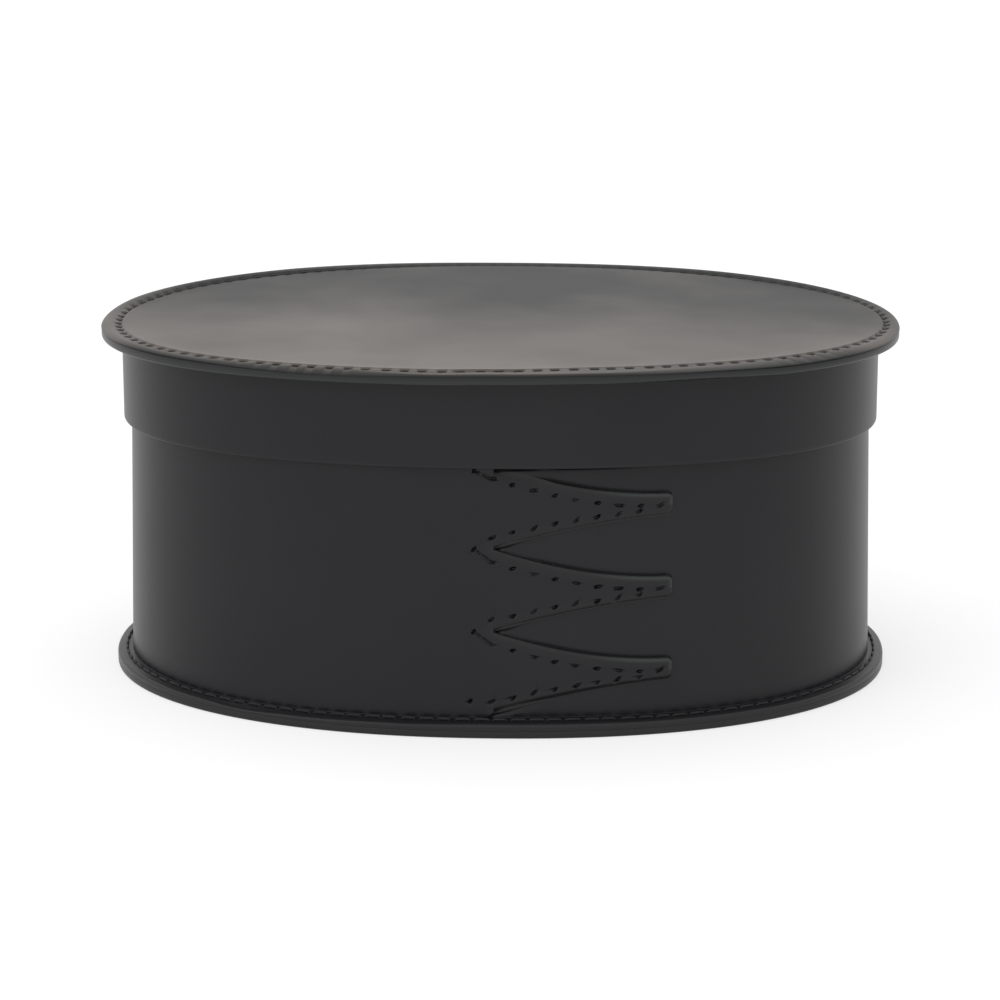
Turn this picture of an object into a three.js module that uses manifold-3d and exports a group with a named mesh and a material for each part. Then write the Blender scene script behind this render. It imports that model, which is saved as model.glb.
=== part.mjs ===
// An oval box in the Shaker manner, made of black leather, with a lid that lifts off.
// Millimetres, +Z up, +X along the long axis. The lapped front of the box faces -Y.
// The origin is the centre of the underside of the base.

import * as THREE from "three";
import { mergeVertices } from "three/addons/utils/BufferGeometryUtils.js";
import Module from "manifold-3d";

const wasm = await Module();
wasm.setup();

// The oval, taken on the outer face of the wall at its top edge.
const boxLength = 200;
const boxWidth = 140;
const ovalPower = 2.17; // 2 draws an ellipse, more fills its corners out
const ovalSteps = 76; // flats round the oval, four equal quarters

// The leathers, and the room left between one layer and the next.
const boxHeight = 96.4;
const wallLeather = 2.2;
const baseLeather = 1.8;
const lidLeather = 1.5;
const layerGap = 0.3;
const edgeBevel = 0.4; // cut edges are burnished round
const bendRadius = 1; // in the corner of a flange that is turned outward
const bendSteps = 3;

// The foot of the wall, turned outward and sewn down on the base.
const wallFlare = 2; // the wall leans out this far from its top edge to its foot
const footWidth = 4.2; // flange, from the foot of the wall to the rim
const footEdge = 1.8; // thickness of the flange where it is skived at the rim

// The lid: a flat top sewn on a band that slides over the wall.
const bandDepth = 25.9; // from the lid's top face to the mouth of the band
const mouthClearance = 0.6; // between the band and the wall at the mouth
const rimWidth = 5.5; // flange, from the face of the band to the rim
const bandLap = 12; // length of the skived lap that closes the band at the back

// The lap of the wall, cut into swallowtail fingers.
const fingerCount = 3;
const fingerLength = 45.5;
const fingerTip = 6; // width of the blunt tip
const tipDrop = 0.4; // the tip hangs this far below the middle of its finger
const fingerCurve = 1.8; // how much more an edge drops near its notch than near its tip
const fingerSteps = 8;
const notchPlace = 0.8; // the notches stand this far right of the middle
const notchCover = 0.4; // the top notch hides this far behind the band
const lapTuck = 10.5; // the inner end of the wall runs on behind the notches
const lapEaseShare = 0.09; // of a full turn, in which the inner layer comes out flush
const buttGap = 0.3; // between the two ends of the foot flange

// Sewing: the holes and the thread.
const rimStitch = 4.75; // pitch of the holes round the two rims
const lapStitch = 5.3; // pitch of the holes along the fingers and the lap of the band
const threadRadius = 0.35;
const holeRadiusShare = 0.6; // of the thread, where it goes down into a hole
const threadSides = 4;
const threadGap = 0.3; // from the thread to the leather under it
const grooveDepth = 1.05; // the creased channel that the stitches lie in
const grooveFloor = 1.3;
const grooveMouth = 1.7;
const cornerSeam = 0.75; // from the corner of a flange out to its row of stitches
const cornerHeight = 0.65; // of the thread over that flange
const rowInset = 3.3; // from the edge of a finger to its row of stitches
const lowRowInset = 1.5; // what is left of that along a lower edge by the tip
const tipInset = 3; // from the tip of a finger to its last hole
const backHole = 5; // from a notch to the hole behind it
const bandRows = 6; // between the two rows that sew the band's lap
const bandRowTop = 4.2; // from the band's flange down to those rows
const bandRowFoot = 3.4; // from those rows down to the mouth

// Heights that follow from the stack of leathers.
const flangeUnder = baseLeather + layerGap;
const footTop = flangeUnder + wallLeather;
const wallFoot = footTop + bendRadius;
const topUnder = boxHeight - lidLeather;
const wallTop = topUnder - layerGap;
const bandTop = topUnder - layerGap;
const bandUnder = bandTop - lidLeather;
const bandMouth = boxHeight - bandDepth;

// Reaches outward from the oval.
const footReach = wallFlare + footWidth;
const bandInner = wallLean(bandMouth) + mouthClearance;
const bandOuter = bandInner + lidLeather;
const rimReach = bandOuter + rimWidth;
const lapStep = wallLeather + layerGap;
const footSeam = wallFlare + cornerSeam;
const lidSeam = bandOuter + cornerSeam;

// How far the wall leans out at a height.
function wallLean(height) {
  return (wallFlare * (wallTop - height)) / (wallTop - wallFoot);
}

// v to a power, with its sign kept.
function signedPower(v, power) {
  return Math.sign(v) * Math.abs(v) ** power;
}

// The oval is a superellipse. A turn of 0 is the middle of the front, and turns grow to the right.
function ovalFrame(turn) {
  const angle = 2 * Math.PI * turn;
  const across = signedPower(Math.sin(angle), 2 / ovalPower);
  const deep = -signedPower(Math.cos(angle), 2 / ovalPower);
  const place = new THREE.Vector3((across * boxLength) / 2, (deep * boxWidth) / 2, 0);
  const out = new THREE.Vector3(
    signedPower(across, ovalPower - 1) / boxLength,
    signedPower(deep, ovalPower - 1) / boxWidth,
    0,
  ).normalize();
  return { place, out };
}

// The turn at which the front of the oval lies at x.
function frontTurn(x) {
  return Math.asin(signedPower((2 * x) / boxLength, ovalPower / 2)) / (2 * Math.PI);
}

// The oval at a reach outward, as a curve whose length can be shared out evenly.
class OvalCurve extends THREE.Curve {
  constructor(reach) {
    super();
    this.reach = reach;
    this.arcLengthDivisions = 8 * ovalSteps;
  }
  getPoint(turn, target = new THREE.Vector3()) {
    const { place, out } = ovalFrame(turn);
    return target.copy(place).addScaledVector(out, this.reach);
  }
}

// A section of [reach, height] pairs, stood on the oval at a turn.
function standSection(turn, section) {
  const { place, out } = ovalFrame(turn);
  return section.map(([reach, height]) => {
    const point = place.clone().addScaledVector(out, reach);
    point.z = height;
    return point;
  });
}

// Turns from one to another, the ends included, about one flat of the oval apart.
function turnsBetween(from, to) {
  const steps = Math.max(1, Math.round((to - from) * ovalSteps));
  return Array.from({ length: steps + 1 }, (_, i) => from + ((to - from) * i) / steps);
}

function ringTurns() {
  return Array.from({ length: ovalSteps }, (_, i) => i / ovalSteps);
}

function geometryOf(points, index) {
  const geometry = new THREE.BufferGeometry().setFromPoints(points);
  geometry.setIndex(index);
  return geometry;
}

// The faces that join each ring of points to the next, round a closed section.
function sideFaces(count, width, ringCount) {
  const index = [];
  for (let k = 0; k < count; k++) {
    for (let i = 0; i < width; i++) {
      const next = ((k + 1) % ringCount) * width;
      const a = k * width + i;
      const b = k * width + ((i + 1) % width);
      const c = next + ((i + 1) % width);
      const d = next + i;
      index.push(a, d, c, a, c, b);
    }
  }
  return index;
}

// A closed section carried right round the oval.
function loftRing(rings) {
  return geometryOf(rings.flat(), sideFaces(rings.length, rings[0].length, rings.length));
}

// A closed section carried part of the way, with its two ends closed. The section is given flat too.
function loftStrip(rings, section) {
  const width = section.length;
  const index = sideFaces(rings.length - 1, width, rings.length);
  const flat = section.map(([reach, height]) => new THREE.Vector2(reach, height));
  const end = (rings.length - 1) * width;
  for (const [a, b, c] of THREE.ShapeUtils.triangulateShape(flat, [])) {
    index.push(a, b, c, end + c, end + b, end + a);
  }
  return geometryOf(rings.flat(), index);
}

// A flat oval plate: a profile from the middle of its underside round the edge to the middle of its top.
function ovalPlate(profile) {
  const rings = ringTurns().map((turn) => standSection(turn, profile));
  const width = profile.length;
  const points = rings.flat();
  const under = points.push(new THREE.Vector3(0, 0, profile[0][1])) - 1;
  const top = points.push(new THREE.Vector3(0, 0, profile[width - 1][1])) - 1;
  const index = [];
  for (let k = 0; k < rings.length; k++) {
    const here = k * width;
    const next = ((k + 1) % rings.length) * width;
    index.push(under, next, here, top, here + width - 1, next + width - 1);
    for (let i = 0; i < width - 1; i++) {
      index.push(here + i, next + i, next + i + 1, here + i, next + i + 1, here + i + 1);
    }
  }
  return geometryOf(points, index);
}

// Between three.js geometry and the solids that are joined and cut.
function solidOf(geometry) {
  const bare = geometry.clone();
  bare.deleteAttribute("normal");
  bare.deleteAttribute("uv");
  const merged = mergeVertices(bare);
  return new wasm.Manifold(
    new wasm.Mesh({
      numProp: 3,
      vertProperties: merged.attributes.position.array,
      triVerts: new Uint32Array(merged.index.array),
    }),
  );
}

function geometryFrom(solid) {
  const mesh = solid.getMesh();
  const geometry = new THREE.BufferGeometry();
  geometry.setAttribute("position", new THREE.BufferAttribute(mesh.vertProperties, 3));
  geometry.setIndex(new THREE.BufferAttribute(mesh.triVerts, 1));
  return geometry;
}

// A quarter of a bend, as [reach, height] pairs.
function bend(reach, height, radius, fromAngle, toAngle) {
  const clockwise = toAngle < fromAngle;
  const arc = new THREE.EllipseCurve(reach, height, radius, radius, fromAngle, toAngle, clockwise);
  return arc.getPoints(bendSteps).map((p) => [p.x, p.y]);
}

// The four points of a cut edge that faces outward, from its under side to its top side.
function rimEdge(reach, under, top) {
  return [
    [reach - edgeBevel, under],
    [reach, under + edgeBevel],
    [reach, top - edgeBevel],
    [reach - edgeBevel, top],
  ];
}

// The wall's leather over its foot, up one face and down the other, shifted outward by shift.
function wallSides(shift) {
  return [
    [wallFlare + shift, wallFoot],
    [shift, wallTop - edgeBevel],
    [shift - edgeBevel, wallTop],
    [shift - wallLeather + edgeBevel, wallTop],
    [shift - wallLeather, wallTop - edgeBevel],
    [wallFlare + shift - wallLeather, wallFoot],
  ];
}

// The whole section of the wall: the upright, the bend at its foot and the flange.
function wallSection(shift) {
  const corner = wallFlare + shift + bendRadius;
  return [
    ...bend(corner, wallFoot, bendRadius + wallLeather, Math.PI, 1.5 * Math.PI),
    ...rimEdge(footReach, flangeUnder, flangeUnder + footEdge),
    ...bend(corner, wallFoot, bendRadius, 1.5 * Math.PI, Math.PI),
    ...wallSides(shift).slice(1, -1),
  ];
}

// The inner end of the wall lies one leather in. Past the tips of the fingers it comes out flush.
function wallShift(turn) {
  const tips = frontTurn(notchPlace + fingerLength);
  const past = THREE.MathUtils.smoothstep(turn, tips, tips + lapEaseShare);
  return -lapStep * (1 - past);
}

// One edge of a finger: how far it has closed in at a share of the way from notch to tip.
// Toward is 1 for a lower edge, whose finger lies above it, and -1 for an upper edge.
function fingerClose(share, toward) {
  const whole = (fingerPitch() - fingerTip) / 2 - toward * tipDrop;
  return whole * (1 - (1 - share) ** fingerCurve);
}

function fingerPitch() {
  return (bandMouth + notchCover - wallFoot) / fingerCount;
}

// The outline of one finger, seen from the front, with its notches at x = notchPlace.
function fingerOutline(foot) {
  const shape = new THREE.Shape();
  const at = (i) => notchPlace + (fingerLength * i) / fingerSteps;
  shape.moveTo(notchPlace - lapTuck, foot);
  for (let i = 0; i <= fingerSteps; i++) {
    shape.lineTo(at(i), foot + fingerClose(i / fingerSteps, 1));
  }
  for (let i = fingerSteps; i >= 0; i--) {
    shape.lineTo(at(i), foot + fingerPitch() - fingerClose(i / fingerSteps, -1));
  }
  shape.lineTo(notchPlace - lapTuck, foot + fingerPitch());
  return shape;
}

// An outline drawn in X and Z, made a block that runs from the middle plane out past the front.
function frontBlock(shape) {
  const depth = boxWidth;
  const geometry = new THREE.ExtrudeGeometry(shape, { depth, bevelEnabled: false });
  geometry.rotateX(Math.PI / 2);
  return solidOf(geometry);
}

// What is cut off the outer end of the wall: all that is right of the notches, but for the fingers.
function fingerWaste() {
  const block = new THREE.Shape();
  const right = notchPlace + 2 * fingerLength;
  block.moveTo(notchPlace, -boxHeight);
  block.lineTo(right, -boxHeight);
  block.lineTo(right, 2 * boxHeight);
  block.lineTo(notchPlace, 2 * boxHeight);
  let waste = frontBlock(block);
  for (let k = 0; k < fingerCount; k++) {
    waste = waste.subtract(frontBlock(fingerOutline(wallFoot + k * fingerPitch())));
  }
  return waste;
}

// The wall is one strip. It starts behind the notches, runs right round and laps over its own start.
function makeWall() {
  const butt = frontTurn(notchPlace);
  const buttEnd = 1 + frontTurn(notchPlace - buttGap);
  const start = frontTurn(notchPlace - lapTuck);
  const end = 1 + frontTurn(notchPlace + fingerLength);
  const lapFrom = 1 + frontTurn(notchPlace - 2 * lapTuck);
  const round = turnsBetween(butt, lapFrom);
  const wrap = loftStrip(
    round.map((turn) => standSection(turn, wallSection(wallShift(turn)))),
    wallSection(wallShift(butt)),
  );
  const tuck = [...turnsBetween(start, butt), round[1]];
  const tongue = loftStrip(
    tuck.map((turn) => standSection(turn, wallSides(wallShift(turn)))),
    wallSides(wallShift(start)),
  );
  const lap = [...turnsBetween(lapFrom, buttEnd), ...turnsBetween(buttEnd, end).slice(1)];
  const outer = loftStrip(
    lap.map((turn) => standSection(turn, wallSection(0))),
    wallSection(0),
  );
  const strip = solidOf(wrap).add(solidOf(tongue));
  return geometryFrom(strip.add(solidOf(outer).subtract(fingerWaste())));
}

// The base and the lid's top are flat plates with a creased channel for the stitches.
function channel(reach, face, inward) {
  return [
    [reach - grooveMouth / 2, face],
    [reach - grooveFloor / 2, face + inward * grooveDepth],
    [reach + grooveFloor / 2, face + inward * grooveDepth],
    [reach + grooveMouth / 2, face],
  ];
}

function makeBase() {
  return ovalPlate([...channel(footSeam, 0, 1), ...rimEdge(footReach, 0, baseLeather)]);
}

function makeLidTop() {
  const crease = channel(lidSeam, boxHeight, -1).reverse();
  return ovalPlate([...rimEdge(rimReach, topUnder, boxHeight), ...crease]);
}

// The band of the lid: its upright, the bend at its top and the flange under the lid's top.
function bandSection() {
  const corner = bandOuter + bendRadius;
  const height = bandUnder - bendRadius;
  return [
    [bandInner, bandMouth + edgeBevel],
    [bandInner + edgeBevel, bandMouth],
    [bandOuter - edgeBevel, bandMouth],
    [bandOuter, bandMouth + edgeBevel],
    ...bend(corner, height, bendRadius, Math.PI, 0.5 * Math.PI),
    ...rimEdge(rimReach, bandUnder, bandTop),
    ...bend(corner, height, bendRadius + lidLeather, 0.5 * Math.PI, Math.PI),
  ];
}

// The cut between the two ends of the band: slanting through its leather, then straight through the flange.
function bandCut() {
  const back = boxWidth / 2;
  const half = bandLap / 2;
  const inside = back + bandInner - lidLeather;
  const outside = back + bandOuter;
  const beyond = back + rimReach + lidLeather;
  const shape = new THREE.Shape();
  shape.moveTo(-half, inside);
  shape.lineTo(-half + 2 * layerGap, inside);
  shape.lineTo(half, outside - layerGap);
  shape.lineTo(half, beyond);
  shape.lineTo(half - layerGap, beyond);
  shape.lineTo(half - layerGap, outside);
  const depth = 2 * boxHeight;
  return solidOf(new THREE.ExtrudeGeometry(shape, { depth, bevelEnabled: false }));
}

function makeBand() {
  const section = bandSection();
  const ring = loftRing(ringTurns().map((turn) => standSection(turn, section)));
  return geometryFrom(solidOf(ring).subtract(bandCut()));
}

// The thread's section: full between two holes, and drawn thin where it enters one.
function threadSection(reach, height, share) {
  const radius = threadRadius * share;
  const corners = Array.from({ length: threadSides }, (_, i) => (2 * Math.PI * i) / threadSides);
  return corners.map((angle) => [
    reach + radius * Math.cos(angle),
    height + radius * Math.sin(angle),
  ]);
}

// One run of thread right round the oval, laid along a row of holes at even pitch.
// The side of the leather it lies on, up 1 or down -1, is where it is drawn in at each hole.
function makeRun(reach, height, side, ringsEach) {
  const curve = new OvalCurve(reach);
  const stitches = Math.round(curve.getLength() / rimStitch);
  const count = stitches * ringsEach;
  const rings = Array.from({ length: count }, (_, i) => {
    const share = ringsEach > 1 && i % ringsEach === 0 ? holeRadiusShare : 1;
    const sunk = height - side * threadRadius * (1 - share);
    const turn = curve.getUtoTmapping(i / count);
    return standSection(turn, threadSection(0, sunk, share)).map((point) =>
      point.addScaledVector(ovalFrame(turn).out, reach),
    );
  });
  return loftRing(rings);
}

// A straight or bent row of stitches over a face. Each hole has a place and the direction out of the leather.
function stitchRow(holes) {
  const stations = [];
  holes.forEach((hole, i) => {
    stations.push({ ...hole, share: holeRadiusShare });
    if (i + 1 === holes.length) return;
    const place = hole.place.clone().lerp(holes[i + 1].place, 0.5);
    stations.push({ place, out: hole.out, share: 1 });
  });
  const rings = stations.map(({ place, out, share }, i) => {
    const before = stations[Math.max(i - 1, 0)].place;
    const after = stations[Math.min(i + 1, stations.length - 1)].place;
    const along = after.clone().sub(before).normalize();
    const across = along.clone().cross(out).normalize();
    const lift = threadGap + threadRadius * share;
    return threadSection(0, 0, share).map(([side, up]) =>
      place
        .clone()
        .addScaledVector(across, side)
        .addScaledVector(out, up + lift),
    );
  });
  return solidOf(loftStrip(rings, threadSection(0, 0, 1)));
}

// A hole on the outer face of the wall's front, at x and a height.
function wallHole(x, height) {
  const { place, out } = ovalFrame(frontTurn(x));
  place.addScaledVector(out, wallLean(height));
  place.z = height;
  return { place, out };
}

// The holes along one edge of a finger, from the hole behind its notch to the hole at its tip.
// Both rows of a finger start from such a hole, and meet in the middle of the tip.
function fingerHoles(notch, toward) {
  const last = fingerLength - tipInset;
  const steps = Math.round((last + backHole) / lapStitch);
  const middle = fingerPitch() / 2 - toward * tipDrop;
  const tipRow = toward > 0 ? lowRowInset : rowInset;
  return Array.from({ length: steps + 1 }, (_, i) => {
    const along = ((last + backHole) * i) / steps - backHole;
    const share = Math.max(along, 0) / fingerLength;
    const inset = rowInset + (tipRow - rowInset) * share;
    const sewn = i < steps ? inset + fingerClose(share, toward) : middle;
    return wallHole(notchPlace + along, notch + toward * (i ? Math.min(sewn, middle) : 0));
  });
}

// One thread sews all the fingers, up and down in zigzag.
function makeFingerThread() {
  const rows = [];
  for (let k = 0; k < fingerCount; k++) {
    const notch = wallFoot + k * fingerPitch();
    rows.push(stitchRow(fingerHoles(k ? notch : notch + cornerHeight, 1)));
    rows.push(stitchRow(fingerHoles(notch + fingerPitch(), -1)));
  }
  return geometryFrom(rows.reduce((sewn, row) => sewn.add(row)));
}

// A hole on the outer face of the band, at the middle of the back.
function bandHole(x, height) {
  const out = new THREE.Vector3(0, 1, 0);
  return { place: new THREE.Vector3(x, boxWidth / 2 + bandOuter, height), out };
}

// The band's lap is sewn down one row, across and up the other.
function makeBandThread() {
  const high = bandUnder - bandRowTop;
  const low = bandMouth + bandRowFoot;
  const half = bandRows / 2;
  const steps = Math.round((high - low) / lapStitch);
  const heights = Array.from({ length: steps + 1 }, (_, i) => high + ((low - high) * i) / steps);
  const down = heights.map((height) => bandHole(-half, height));
  const up = heights.map((height) => bandHole(half, height));
  const foot = [bandHole(-half, low), bandHole(half, low)];
  return geometryFrom([down, up, foot].map(stitchRow).reduce((sewn, row) => sewn.add(row)));
}

// Colours of the leather and of the waxed thread.
const leather = { color: 0x2c2c2e, roughness: 0.5, metalness: 0 };
const lidFace = { color: 0x3a3938, roughness: 0.42, metalness: 0 };
const thread = { color: 0x141415, roughness: 0.6, metalness: 0 };

function piece(name, geometry, finish) {
  geometry.computeVertexNormals();
  const mesh = new THREE.Mesh(geometry, new THREE.MeshStandardMaterial({ ...finish, flatShading: true }));
  mesh.name = name;
  return mesh;
}

const seamTop = boxHeight - grooveDepth + threadGap + threadRadius;
const seamUnder = grooveDepth - threadGap - threadRadius;

const box = new THREE.Group();
box.add(
  piece("base_panel", makeBase(), leather),
  piece("body_wall", makeWall(), leather),
  piece("base_seam_thread", makeRun(footSeam, footTop + cornerHeight, 1, 2), thread),
  piece("base_seam_under_thread", makeRun(footSeam, seamUnder, -1, 1), thread),
  piece("finger_seam_thread", makeFingerThread(), thread),
);

const lid = new THREE.Group();
lid.add(
  piece("lid_top", makeLidTop(), lidFace),
  piece("lid_band", makeBand(), leather),
  piece("lid_seam_thread", makeRun(lidSeam, seamTop, 1, 2), thread),
  piece("lid_seam_under_thread", makeRun(lidSeam, bandUnder - cornerHeight, -1, 1), thread),
  piece("band_lap_thread", makeBandThread(), thread),
);

const part = new THREE.Group();
part.add(box, lid);

export default part;
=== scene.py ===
import math

import bmesh
import bpy
import numpy as np
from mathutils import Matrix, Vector


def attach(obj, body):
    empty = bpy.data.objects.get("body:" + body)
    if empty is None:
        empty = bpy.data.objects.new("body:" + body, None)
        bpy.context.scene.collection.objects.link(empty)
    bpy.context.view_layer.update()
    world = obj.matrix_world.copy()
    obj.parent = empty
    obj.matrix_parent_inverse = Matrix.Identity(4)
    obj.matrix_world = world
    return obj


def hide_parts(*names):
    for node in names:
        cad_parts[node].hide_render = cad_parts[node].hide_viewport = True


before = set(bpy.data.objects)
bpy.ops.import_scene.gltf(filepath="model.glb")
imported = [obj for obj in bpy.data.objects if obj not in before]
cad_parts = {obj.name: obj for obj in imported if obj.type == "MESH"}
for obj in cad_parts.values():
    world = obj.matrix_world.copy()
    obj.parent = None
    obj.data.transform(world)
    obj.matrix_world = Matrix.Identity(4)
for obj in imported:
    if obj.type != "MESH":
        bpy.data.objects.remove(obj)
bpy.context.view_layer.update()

# The camera stands before the lapped front, a little to its right, and looks down at the lid
# from 14.5 degrees above the table. It was worked out from the outlines of lid, wall and foot.
camera_turn = 0.034467  # radians
camera_rise = 0.252769
camera_distance = 0.904792
camera_aim = 0.043785  # height it looks at
camera_lens = 117.969


def set_out(name, data):
    """An object that holds the data, put into the scene."""
    thing = bpy.data.objects.new(name, data)
    bpy.context.scene.collection.objects.link(thing)
    return thing


back = Vector((
    math.sin(camera_turn) * math.cos(camera_rise),
    -math.cos(camera_turn) * math.cos(camera_rise),
    math.sin(camera_rise),
))
camera = set_out("camera", bpy.data.cameras.new("camera"))
camera.data.lens = camera_lens
camera.data.sensor_width = 36
camera.location = Vector((0, 0, camera_aim)) + back * camera_distance
camera.rotation_mode = "QUATERNION"
camera.rotation_quaternion = (-back).to_track_quat("-Z", "Y")
bpy.context.scene.camera = camera

# The base is one flat oval of sole leather, cut from a pattern. Its rim is rubbed round, and a
# channel is creased into its underside so that the stitches don't touch the table.
# Sizes are in millimetres here and below, until a mesh is made.
oval_length = 200.0
oval_width = 140.0
oval_power = 2.17  # 2 draws an ellipse, more fills its corners out
base_thick = 1.97
base_round = 0.6
# The share of the lighter rubbed tone on the rims of base and flange, which is partly a painted
# highlight.
rim_rub_and_highlight = 0.25
foot_reach = 6.2  # of the rim, outward from the oval
foot_seam = 2.75  # reach of the stitches under the base
under_channel = ((-0.85, 0), (-0.65, 0.6), (-0.4, 1), (0.4, 1), (0.65, 0.6), (0.85, 0))
under_channel_depth = 1.0
base_columns = 240


def signed_power(v, power):
    """v to a power, with its sign kept."""
    return np.sign(v) * np.abs(v) ** power


def oval(turn):
    """The oval is a superellipse. At an angle a from the middle of the front, its point is
    x = length / 2 * sin(a)^(2/n) and y = -width / 2 * cos(a)^(2/n), signs kept. The way out is along
    (X^(n-1) / length, Y^(n-1) / width), where X and Y are x and y as shares of their halves."""
    angle = 2 * np.pi * np.asarray(turn, float)
    across = signed_power(np.sin(angle), 2 / oval_power)
    deep = -signed_power(np.cos(angle), 2 / oval_power)
    place = np.stack([across * oval_length / 2, deep * oval_width / 2], -1)
    out = np.stack([
        signed_power(across, oval_power - 1) / oval_length,
        signed_power(deep, oval_power - 1) / oval_width,
    ], -1)
    return place, out / np.linalg.norm(out, axis=-1, keepdims=True)


def turn_at(reach, share):
    """The turn at a share of the way round, measured along the line that lies reach outside the oval,
    and the length of that line, added up from short chords."""
    fine = np.linspace(0, 1, 8001)
    place, out = oval(fine)
    chords = np.linalg.norm(np.diff(place + out * reach, axis=0), axis=1)
    run = np.concatenate([[0], np.cumsum(chords)])
    whole = np.floor(share)
    return whole + np.interp(share - whole, run / run[-1], fine), run[-1]


def stand(turn, reach, height, share=1.0):
    """The oval's point at a turn times share, plus the way out there times reach, at a height."""
    turn, reach, height, share = np.broadcast_arrays(turn, reach, height, share)
    place, out = oval(turn)
    flat = place * share[..., None] + out * reach[..., None]
    return np.concatenate([flat, height[..., None]], -1)


def grid_faces(rows, columns, close_rows, close_columns):
    """Faces between neighbouring points of a grid, row by row. They face outward where the rows climb
    and the columns go to the right."""
    i = np.arange(rows if close_rows else rows - 1)
    j = np.arange(columns if close_columns else columns - 1)
    i, j = np.meshgrid(i, j, indexing="ij")
    above, right = (i + 1) % rows, (j + 1) % columns
    corners = [i * columns + j, i * columns + right, above * columns + right, above * columns + j]
    return np.stack(corners, -1).reshape(-1, 4)


def make_piece(name, points, faces, finish, wear_painted_light=None, along=None):
    """An object with one mesh, from points in millimetres and four-cornered faces. Points that meet are
    merged, which closes seams and poles. Wear is 1 on a rubbed edge, where the leather takes its rubbed
    tone, partly painted light: a painted highlight on the box, painted shade on the lid's margin. Along
    holds each face corner's place round and along a thread."""
    meeting = 5e-6  # metres
    crisp_edge = math.radians(50)
    mesh = bpy.data.meshes.new(name)
    mesh.vertices.add(points.size // 3)
    mesh.vertices.foreach_set("co", (points * 0.001).ravel())
    mesh.loops.add(faces.size)
    mesh.loops.foreach_set("vertex_index", faces.ravel())
    mesh.polygons.add(len(faces))
    mesh.polygons.foreach_set("loop_start", np.arange(0, faces.size, 4))
    mesh.update(calc_edges=True)
    if wear_painted_light is not None:
        mesh.attributes.new("wear_painted_light", "FLOAT", "POINT").data.foreach_set("value", wear_painted_light.ravel())
    if along is not None:
        mesh.uv_layers.new(name="along").uv.foreach_set("vector", along.ravel())
    soft = bmesh.new()
    soft.from_mesh(mesh)
    bmesh.ops.remove_doubles(soft, verts=soft.verts, dist=meeting)
    soft.to_mesh(mesh)
    soft.free()
    mesh.polygons.foreach_set("use_smooth", np.ones(len(mesh.polygons), bool))
    mesh.set_sharp_from_angle(angle=crisp_edge)
    mesh.materials.append(finish)
    return set_out(name, mesh)


def blank_nodes(owner):
    """The node tree of a material or a world, cleared."""
    owner.use_nodes = True
    owner.node_tree.nodes.clear()
    return owner.node_tree


def wire(tree, kind, sockets, **settings):
    """Adds a shader node with its settings. Its sockets take values, outputs of other nodes or, where a
    whole node is given, the first output of that."""
    node = tree.nodes.new("ShaderNode" + kind)
    for field, value in settings.items():
        setattr(node, field, value)
    for socket, value in sockets.items():
        if isinstance(value, bpy.types.Node):
            value = value.outputs[0]
        if isinstance(value, bpy.types.NodeSocket):
            tree.links.new(value, node.inputs[socket])
        else:
            node.inputs[socket].default_value = value
    return node


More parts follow.
